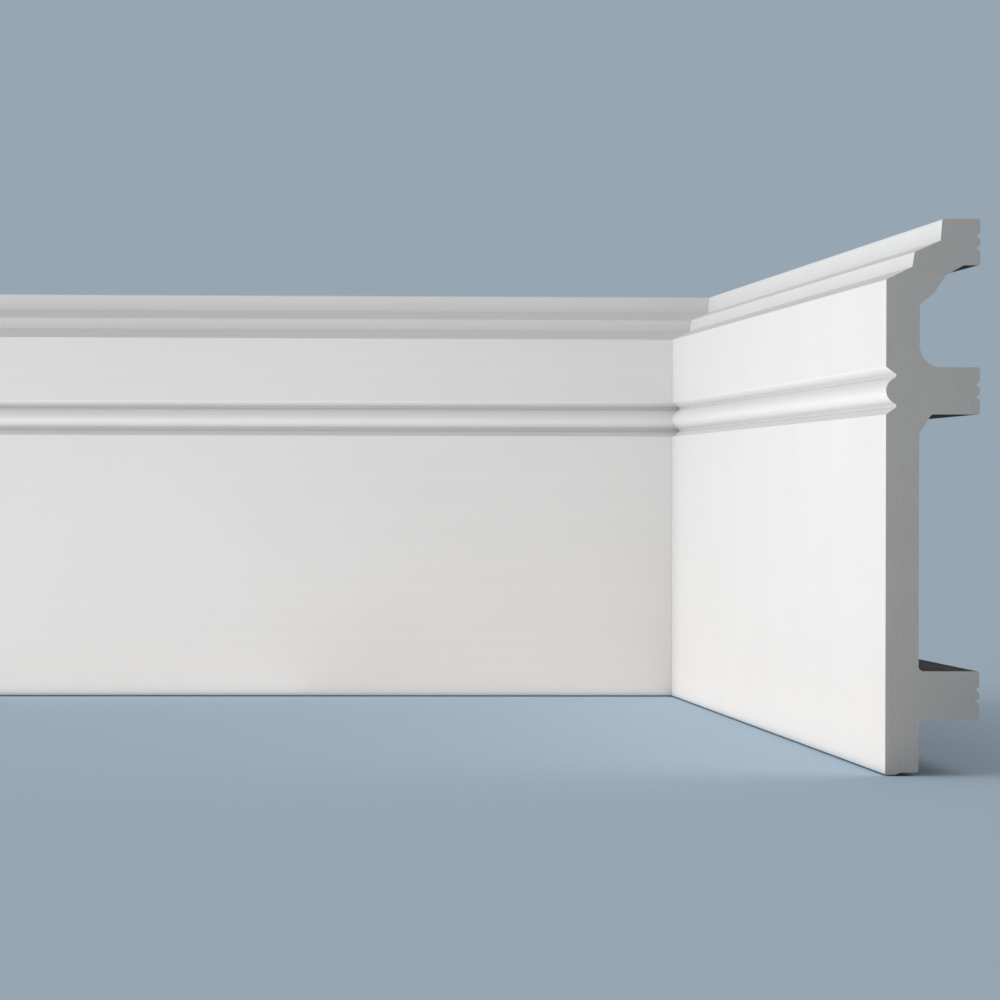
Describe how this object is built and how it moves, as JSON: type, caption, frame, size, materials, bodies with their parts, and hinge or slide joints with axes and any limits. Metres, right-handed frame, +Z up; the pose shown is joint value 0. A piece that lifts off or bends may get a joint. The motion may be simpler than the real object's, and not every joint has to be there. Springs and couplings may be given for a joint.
{
  "type": "skirting board",
  "caption": "Hollow-backed white skirting board mitred at an inside corner, with a stepped top, a bead between V-shaped quirks, and ribs behind that reach the wall.",
  "frame": {"origin": "on the floor, in the middle of the corner's bounding box", "axes": "+Z up; the left board runs along X with its face to -Y, and the longer right board runs along Y with its face to -X"},
  "size_m": [0.434, 0.874, 0.2],
  "materials": {
    "white_coat": "smooth satin white primer coat on the face and the stepped top",
    "grey_core": "dull grey dense polymer, sawn at the ends, with a dark skin as extruded behind"
  },
  "bodies": {
    "root": {"left_board": "white_coat", "right_board": "white_coat"}
  },
  "joints": []
}
